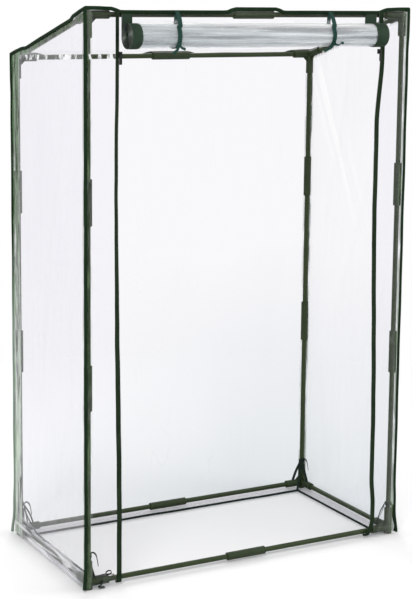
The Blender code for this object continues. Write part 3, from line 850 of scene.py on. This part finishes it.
def make_corner_ties(looks):
    """Thin ribbons that hold the cover's bottom corners to the frame.

    Each is wound and knotted a little differently.
    """
    flat, thin, broad = oval(0.0034, 0.0008, 8, 0.7), oval(0.0022, 0.0007, 8, 0.7), oval(0.0042, 0.0009, 8, 0.7)
    arm_top = RAIL_HEIGHT + 0.0128
    knot_height, winding_height, winding_radius = 0.090, 0.085, 0.0085
    hang = way(0.8, -0.6, 0)
    for name, end, side in CORNERS:
        post = Vector((side * POST_X, FRONT_Y if end < 0 else BACK_Y, 0))
        inward = Vector((-side, -end, 0))
        across = way(side, -end, 0)
        knot = post + UP * knot_height + inward * 0.0068
        hem_corner = post + Vector((-side * 0.036, -end * 0.034, 0.006))
        winding = loop_round(post + UP * winding_height, UP, winding_radius, side * 0.6, 2, 0.008)
        strap = curved([hem_corner, hem_corner.lerp(knot, 0.55) + inward * -0.004, knot], 8)
        loop = curved([
            knot,
            knot + hang * 0.008 + UP * 0.007,
            knot + hang * 0.017 + UP * 0.001,
            knot + hang * 0.021 - UP * 0.014,
            knot + hang * 0.0235 - UP * 0.030,
        ], 7)
        parts = [swept(winding, UP, flat), swept(strap, across, flat), swept(loop, way(0.3, 0.5, 0.8), thin)]
        if side < 0 and end < 0:
            over_arm = ribbon_line(post, [
                (0.008, -0.006, arm_top + 0.004),
                (0.030, -0.002, arm_top + 0.001),
                (0.052, 0, arm_top + 0.0012),
                (0.074, -0.001, RAIL_HEIGHT + 0.0095),
            ], 7)
            tilted = way(0.1, 1, 0.5)
            bow = loop_round(post + Vector((0.058, -0.002, arm_top + 0.0045)), tilted, 0.0078, 0, 1, 0)
            stub = ribbon_line(post, [
                (0.034, -0.013, arm_top - 0.004),
                (0.033, -0.0165, 0.014),
                (0.022, -0.0155, 0.007),
                (0.040, -0.0150, 0.004),
            ], 6)
            parts += [swept(over_arm, ALONG_Y, flat), swept(bow, tilted, thin)]
            parts.append(swept(stub, way(0.5, 1, 0), broad))
        else:
            for reach in (Vector((-side * 0.036, -end * 0.006, 0)), Vector((-side * 0.006, -end * 0.042, 0))):
                low_end = post + UP * arm_top + reach
                bow = low_end.lerp(knot, 0.5) + reach.normalized() * 0.003
                parts.append(swept(curved([low_end, bow, knot], 6), way(side, -end, 0.3), broad))
        if side > 0 and end < 0:
            outside = ribbon_line(post, [
                (0.0022, 0.0028, 0.092),
                (0.0105, -0.0075, 0.080),
                (0.0130, -0.0080, 0.050),
                (0.0215, -0.0070, 0.022),
                (0.0190, -0.0080, 0.004),
            ], 6)
            parts.append(swept(outside, Vector((0.6, -0.8, 0)), flat))
        piece(f"corner_tie_{name}", *joined(*parts), looks["thin_tie"], COVER, "ribbon")


# Zips

def zip_sway(side, z):
    """How far a hanging zip strays outward from its straight line: held by its slider near the top, free below."""
    if side < 0:
        bulge = 0.0025 * smooth(z, 0.75, 1.05) * (1 - smooth(z, 1.15, 1.36))
        stray = bulge - 0.0105 * (1 - smooth(z, 0.15, 0.95))
    else:
        bow = -0.0145 * smooth(z, 0.30, 1.00) * (1 - smooth(z, 1.20, 1.38))
        hidden_top = -0.0070 * smooth(z, 1.41, 1.48)
        hang = 0.0020 + 0.0060 * (1 - smooth(z, 0.10, 0.18)) - 0.0020 * smooth(z, 1.20, 1.38)
        tail = -0.022 * (1 - smooth(z, -0.004, 0.062)) ** 1.6
        stray = bow + hidden_top + hang + tail
    return stray + 0.0007 * wave(z * 13, side * 7) * (1 - smooth(z, 1.33, 1.38))


def zip_turn(side, z):
    """Angle by which a zip's tape is turned out of the cover's front plane."""
    return math.radians(27) * smooth(z, 0.45, 1.05) if side < 0 else math.radians(4)


def zip_place(side, z, across):
    """Point on a zip's tape: across is the distance outward from the coil."""
    coil_x, coil_y = ZIP_LOW[0] + COIL_INSET + zip_sway(side, z), (ZIP_LOW[1] + ZIP_HIGH[1]) / 2
    turn = zip_turn(side, z)
    return Vector((side * (coil_x + across * math.cos(turn)), coil_y - across * math.sin(turn), z))


def make_zips(looks):
    """The half of each zip that stays on the front strip: woven tape, coil and a tail turned in under the rail."""
    bottom, top = ZIP_LOW[2], ZIP_HIGH[2]
    width = ZIP_HIGH[0] - ZIP_LOW[0] - 0.0012
    turned_back, dip = 0.0055, 0.0045
    tail_rows, tape_rows, coil_steps = 6, 170, 7
    for name, side in SIDES.items():
        half_thick = ALONG_Y * side * 0.00045
        rows = []
        for k in range(tail_rows):
            angle = math.pi * k / tail_rows
            turned_in = Vector((0, turned_back * (1 + math.cos(angle)), 0.001 - dip * math.sin(angle)))
            rows.append([zip_place(side, bottom, width * share) + turned_in for share in TAPE_SHARES])
        for i in range(tape_rows + 1):
            z = bottom + (top - bottom) * i / tape_rows
            rows.append([
                zip_place(side, z, width * share)
                + ALONG_Y * 0.0006 * math.sin(share * math.pi) * wave(z * 9, side * 3, share)
                for share in TAPE_SHARES
            ])
        points = []
        for row in rows:
            points += [q - half_thick for q in row] + [q + half_thick for q in reversed(row)]
        weave = points, tube_faces(len(rows), 2 * len(TAPE_SHARES))
        folded_end = [
            zip_place(side, bottom + 0.004 + 0.007 * k, width * 0.5) - ALONG_Y * 0.0012 for k in range(3)
        ]
        weave = joined(weave, swept(folded_end, ALONG_X, oval(width * 0.52, 0.0016, 10, 0.6)))
        piece(f"zip_weave_{name}", *weave, looks["zip"], COVER, "zip_tape", f"zip_tape_{name}")

        helix = []
        for i in range(int((top - bottom) / COIL_PITCH) * coil_steps):
            middle = zip_place(side, bottom + COIL_PITCH * i / coil_steps, 0.0)
            angle = 2 * math.pi * i / coil_steps
            helix.append(round_point(middle, ALONG_X * side * 0.00115, ALONG_Y * 0.00085, angle))
        coil = swept(helix, UP, oval(0.00042, 0.00034, 4))
        piece(f"zip_coil_{name}", *coil, looks["coil"], COVER, "zip_tape", f"zip_tape_{name}")


# Rolled door

def round_roll(radius, angle):
    """Point at an angle round the middle of the roll: 0 at the cover, a quarter turn underneath."""
    return ROLL_CENTRE + Vector((0, radius * math.cos(angle), -radius * math.sin(angle)))


def roll_path(offset=0.0):
    """Middle line of the door film from the header down and round the roll, moved outwards by offset.

    Each point comes with its turn.
    """
    top = HEADER_HEIGHT - 0.006
    lead_steps, turn_steps = 9, 24
    line = []
    for k in range(lead_steps):
        z = top + (ROLL_HEIGHT - top) * k / lead_steps
        line.append((Vector((0, DOOR_PLANE + offset, z)), 0.0))
    for i in range(round(ROLL_TURNS * turn_steps) + 1):
        turn = i / turn_steps
        line.append((round_roll(ROLL_RADIUS - TURN_PITCH * turn + offset, 2 * math.pi * turn), turn))
    return line


def wound(x, point, turn):
    """Point of the door film at x, with the small unevenness of the roll.

    It swells away from the ties, the same on neighbouring turns, and not above the roll.
    """
    place = Vector((x, point.y, point.z))
    outward = point - ROLL_CENTRE
    outward.x = 0
    if not turn or outward.length < 1e-6:
        return place
    angle = math.atan2(outward.z, outward.y)
    size = 0.0012 + 0.0011 * wave(x * 7, math.cos(angle) * 1.3, math.sin(angle) * 1.3)
    size *= smooth(abs(abs(x) - TIE_OFFSET), 0.006, 0.06)
    size += 0.00045 * wave(x * 26, angle * 1.2, turn * 0.25)
    return place + outward.normalized() * size * smooth(outward.length, 0.006, 0.03)


def make_door_roll(looks):
    line = roll_path()

    def place(u, v):
        x = DOOR_HALF_WIDTH * (2 * u - 1) - ROLL_LEFTWARD
        return wound(x, *line[round(v * (len(line) - 1))])

    made = film_panel("film_door_roll", 72, len(line) - 1, place, looks["rolled_film"], "door_roll", DOOR)


def make_door_zip_halves(looks):
    """The door's halves of the zips, wound up with the film at both ends of the roll."""
    def wound_strip(x, section):
        return swept([wound(x, point, turn) for point, turn in roll_path(0.0003)], ALONG_X, section)

    for name, side in SIDES.items():
        width = DOOR_ZIP_WIDTH[name]
        middle = side * (DOOR_HALF_WIDTH + 0.0012 - width / 2) - ROLL_LEFTWARD
        tape = wound_strip(middle, oval(width / 2, 0.00090, 8, 0.5))
        piece(f"door_zip_half_{name}", *tape, looks["door_zip"], DOOR, "zip_tape")
        edge = side * (DOOR_HALF_WIDTH + 0.0006) - ROLL_LEFTWARD
        coil = wound_strip(edge, oval(0.0012, 0.00100, 8))
        piece(f"door_zip_coil_{name}", *coil, looks["coil"], DOOR, "zip_tape")


def tie_path():
    """Line of a door tie over the front of the roll, under it and up behind the film."""
    top = HEADER_HEIGHT - 0.007
    beside_film = 0.0009
    start = Vector((0, DOOR_PLANE - beside_film, top))
    to_centre = ROLL_CENTRE - start
    lean = math.asin(TIE_RADIUS / to_centre.length)
    first_angle = math.pi + math.atan2(-to_centre.y, -to_centre.z) + lean
    down_steps, round_steps, up_steps = 5, 40, 6
    touch = round_roll(TIE_RADIUS, first_angle)
    path = [start.lerp(touch, k / down_steps) for k in range(down_steps)]
    path += [round_roll(TIE_RADIUS, first_angle * (1 - i / round_steps)) for i in range(round_steps + 1)]
    path += [
        Vector((0, DOOR_PLANE + beside_film, ROLL_HEIGHT + (top - ROLL_HEIGHT) * k / up_steps))
        for k in range(1, up_steps + 1)
    ]
    return path


def make_door_ties(looks):
    """Ribbons round the rolled door, each knotted low in front with two tails."""
    knot_angle = math.radians(50)
    out = Vector((0, -math.sin(knot_angle), -math.cos(knot_angle)))
    along = Vector((0, -math.cos(knot_angle), math.sin(knot_angle)))
    line = tie_path()
    for name, side in SIDES.items():
        x = side * TIE_OFFSET - TIE_SLANT - 0.003
        band = []
        for i, p in enumerate(line):
            share = i / (len(line) - 1)
            slant = TIE_SLANT * (1 - smooth(share, 0.0, 0.16) + smooth(share, 0.62, 1.0))
            band.append(Vector((x + slant + 0.0004 * wave(i * 0.3, side), p.y, p.z)))
        knot = Vector((x, ROLL_CENTRE.y, ROLL_CENTRE.z)) + out * (TIE_RADIUS + 0.0022)
        parts = [
            swept(band, ALONG_X, oval(0.0062, 0.0004, 10, 0.5)),
            swept(ring(knot, along * 0.0044, out * 0.0034, 14), ALONG_X, oval(0.0052, 0.0010, 10, 0.6)),
            swept(ring(knot, ALONG_X * 0.0056, out * 0.0042, 12), along, oval(0.0034, 0.0009, 10, 0.6)),
        ]
        splaying, reaches = (0.9, (0.020, -0.002)) if side > 0 else (0.5, (0.022, 0.012))
        for tail_side, reach in zip((-1, 1), reaches):
            splay = ALONG_X * tail_side * splaying
            tail = curved([
                knot,
                knot + splay * 0.012 + out * 0.003 + Vector((0, -0.002, -0.3 * reach - 0.002)),
                knot + splay * 0.024 + Vector((0, -0.004, -0.7 * reach - 0.001)),
                knot + splay * 0.034 + Vector((0, -0.002, -reach)),
            ], 7)
            twist = [way(1, 0.35 * tail_side * i / len(tail), 0.35 * tail_side) for i in range(len(tail))]
            parts.append(swept(tail, twist, oval(0.0036, 0.00035, 8, 0.5)))
        piece(f"ribbon_tie_{name}", *joined(*parts), looks["ribbon"], DOOR, "ribbon", f"door_tie_{name}")


# Rigid pieces, stage and camera

def dress_rigid_nodes(looks):
    """Better materials on the rigid nodes that keep their own shape."""
    for name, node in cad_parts.items():
        if name.startswith(("post_", "rail_", "rafter_")):
            look = looks["tube"]
        elif name.startswith(("sleeve_", "corner_")):
            look = looks["connector"]
        elif name.startswith(("zip_slider", "zip_pull")):
            look = looks["slider"]
        else:
            continue
        for holder in node.material_slots:
            holder.link = "OBJECT"
            holder.material = look


def make_floor():
    """Pale floor that keeps the shadow, has a painted shadow in the greenhouse's footprint and turns white away
    from it.
    """
    look = Look("pale_floor")
    look.shade(Base_Color=look.blended(look.noise(0.6, 2), (0.78, 0.78, 0.78), (0.80, 0.80, 0.80)))
    look.rough(look.noise(3, 2), 0.75, 0.85)
    look.shade(Specular_IOR_Level=0.1)
    seen = look.seen()
    from_origin = look.node("ShaderNodeVectorMath", {0: look.place}, operation="LENGTH")
    away = look.ranged(from_origin.outputs["Value"], 0.85, 2.3)
    # Painted shadow: the floor glows up to white only outside the greenhouse's footprint, so it stays grey under
    # it.
    x, y, _ = look.axes()
    out_x = look.maths("SUBTRACT", look.distance(x, 0.0), POST_X)
    out_y = look.maths("SUBTRACT", look.distance(y, MIDDLE_Y), HALF_DEPTH)
    outside = look.ranged(look.highest(out_x, out_y), 0.0, 0.07)
    lift = look.node("ShaderNodeEmission", {"Strength": look.product(seen, outside, FLOOR_LIFT)})
    near = look.node("ShaderNodeAddShader", {0: look.shader.outputs[0], 1: lift.outputs[0]})
    white = look.node("ShaderNodeEmission")
    look.surfaced(look.mixed(look.product(seen, away), near.outputs[0], white.outputs[0]))
    corners = [(x * FLOOR_HALF, y * FLOOR_HALF, 0) for x, y in ((-1, -1), (1, -1), (1, 1), (-1, 1))]
    mesh = bpy.data.meshes.new("floor")
    mesh.from_pydata(corners, [], [(0, 1, 2, 3)])
    mesh.materials.append(look.made)
    floor = bpy.data.objects.new("floor", mesh)
    floor.location.z = -FLOOR_DROP
    bpy.context.scene.collection.objects.link(floor)


def make_background():
    """White background whose light on the pieces is softer than what the camera sees."""
    world = bpy.data.worlds.new("studio")
    bpy.context.scene.world = world
    world.use_nodes = True
    nodes = Nodes(world.node_tree)
    strength = nodes.ranged(nodes.seen(), 0.0, 1.0, WORLD_LIGHT, 1.0)
    nodes.feed(world.node_tree.nodes["Background"], {"Color": (1, 1, 1), "Strength": strength})


def add_lamp(name, place, target, size, watts):
    light = bpy.data.lights.new(name, "AREA")
    light.shape = "RECTANGLE"
    light.size, light.size_y = size
    light.energy = watts
    lamp = bpy.data.objects.new(name, light)
    lamp.location = place
    lamp.rotation_mode = "QUATERNION"
    lamp.rotation_quaternion = (Vector(target) - Vector(place)).to_track_quat("-Z", "Y")
    bpy.context.scene.collection.objects.link(lamp)


def make_lights():
    middle = (0, 0, 0.8)
    add_lamp("key", (-2.6, -3.2, 3.6), middle, (1.8, 1.8), 130)
    add_lamp("fill", (3.4, -2.0, 2.4), middle, (2.4, 2.4), 60)
    add_lamp("back", (0.8, 3.2, 3.0), middle, (2.2, 1.6), 60)


def make_camera():
    yaw, pitch, roll = CAMERA_YAW, CAMERA_PITCH, CAMERA_ROLL
    forward = Vector((math.sin(yaw) * math.cos(pitch), math.cos(yaw) * math.cos(pitch), math.sin(pitch)))
    level = Vector((math.cos(yaw), -math.sin(yaw), 0))
    upright = level.cross(forward)
    right = level * math.cos(roll) + upright * math.sin(roll)
    up = upright * math.cos(roll) - level * math.sin(roll)
    lens = bpy.data.cameras.new("camera")
    lens.sensor_width = SENSOR_WIDTH
    lens.lens = FOCAL_PIXELS / PHOTO_HEIGHT_PIXELS * lens.sensor_width
    lens.shift_x, lens.shift_y = SHIFT_RIGHT, SHIFT_UP
    camera = bpy.data.objects.new("camera", lens)
    turn = Matrix((right, up, -forward)).transposed()
    camera.matrix_world = Matrix.Translation(CAMERA_PLACE) @ turn.to_4x4()
    bpy.context.scene.collection.objects.link(camera)
    bpy.context.scene.camera = camera


def main():
    make_camera()
    make_floor()
    make_background()
    make_lights()
    looks = make_looks()
    dress_rigid_nodes(looks)
    make_side_panels(looks)
    make_back_panel(looks)
    make_roof(looks)
    make_front_strips(looks)
    make_binding(looks)
    make_hem(looks)
    make_corner_ties(looks)
    make_zips(looks)
    make_door_roll(looks)
    make_door_zip_halves(looks)
    make_door_ties(looks)
    bpy.context.scene.view_settings.view_transform = "Standard"


main()
